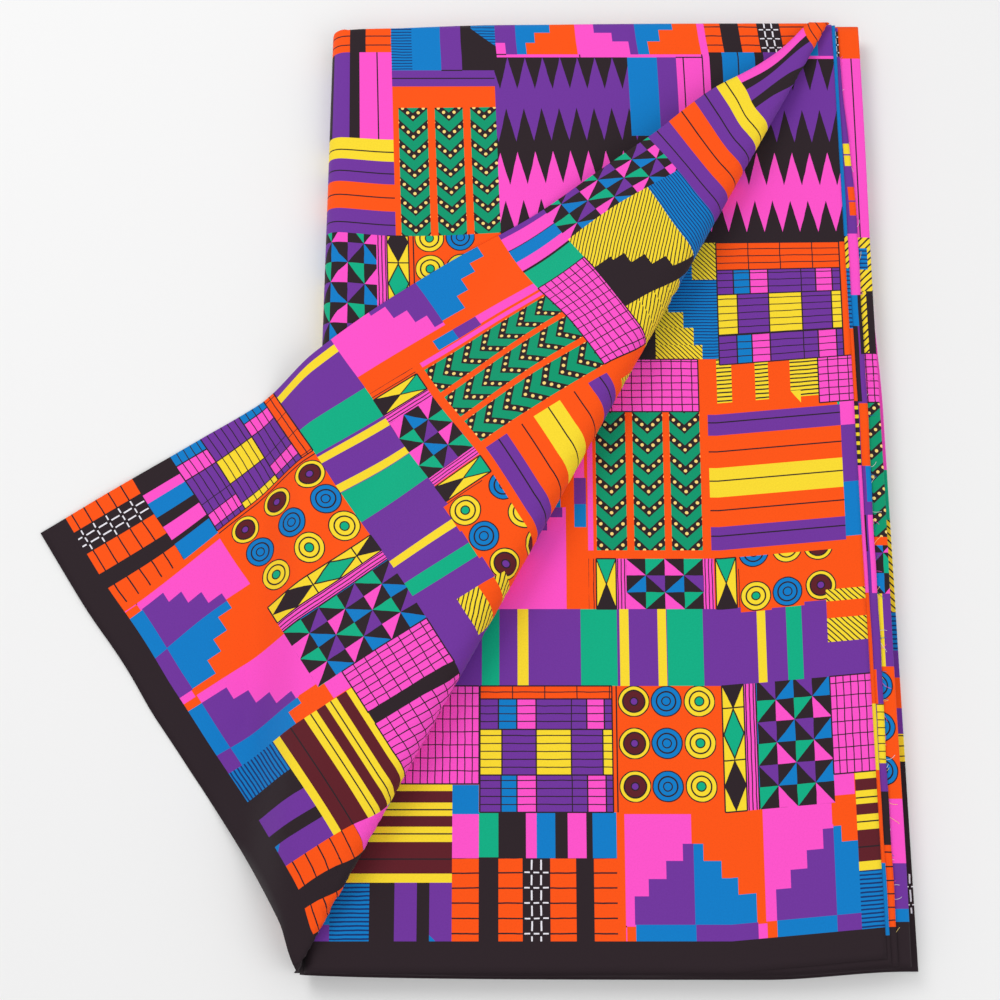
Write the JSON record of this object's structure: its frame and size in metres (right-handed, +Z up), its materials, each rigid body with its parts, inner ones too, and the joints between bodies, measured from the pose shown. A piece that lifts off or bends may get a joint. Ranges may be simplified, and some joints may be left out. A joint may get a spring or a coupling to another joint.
{
  "type": "african wax print fabric",
  "caption": "Length of patchwork wax print cotton, folded flat into a tall pad, with one corner of the top layer turned back and hanging off its left side.",
  "frame": {"origin": "bottom centre of the whole piece, on the surface it rests on", "axes": "+X to the right across the pad, +Y from the front selvedge to the far fold, +Z up"},
  "size_m": [0.5105, 0.5848, 0.0451],
  "materials": {
    "wax_print_cotton": "matt"
  },
  "bodies": {
    "root": {"bottom_layer": "wax_print_cotton", "hidden_layers": "wax_print_cotton", "lower_fold": "wax_print_cotton", "cut_edge_layer": "wax_print_cotton", "revealed_layer": "wax_print_cotton", "top_layer": "wax_print_cotton", "turned_corner": "wax_print_cotton"}
  },
  "joints": []
}
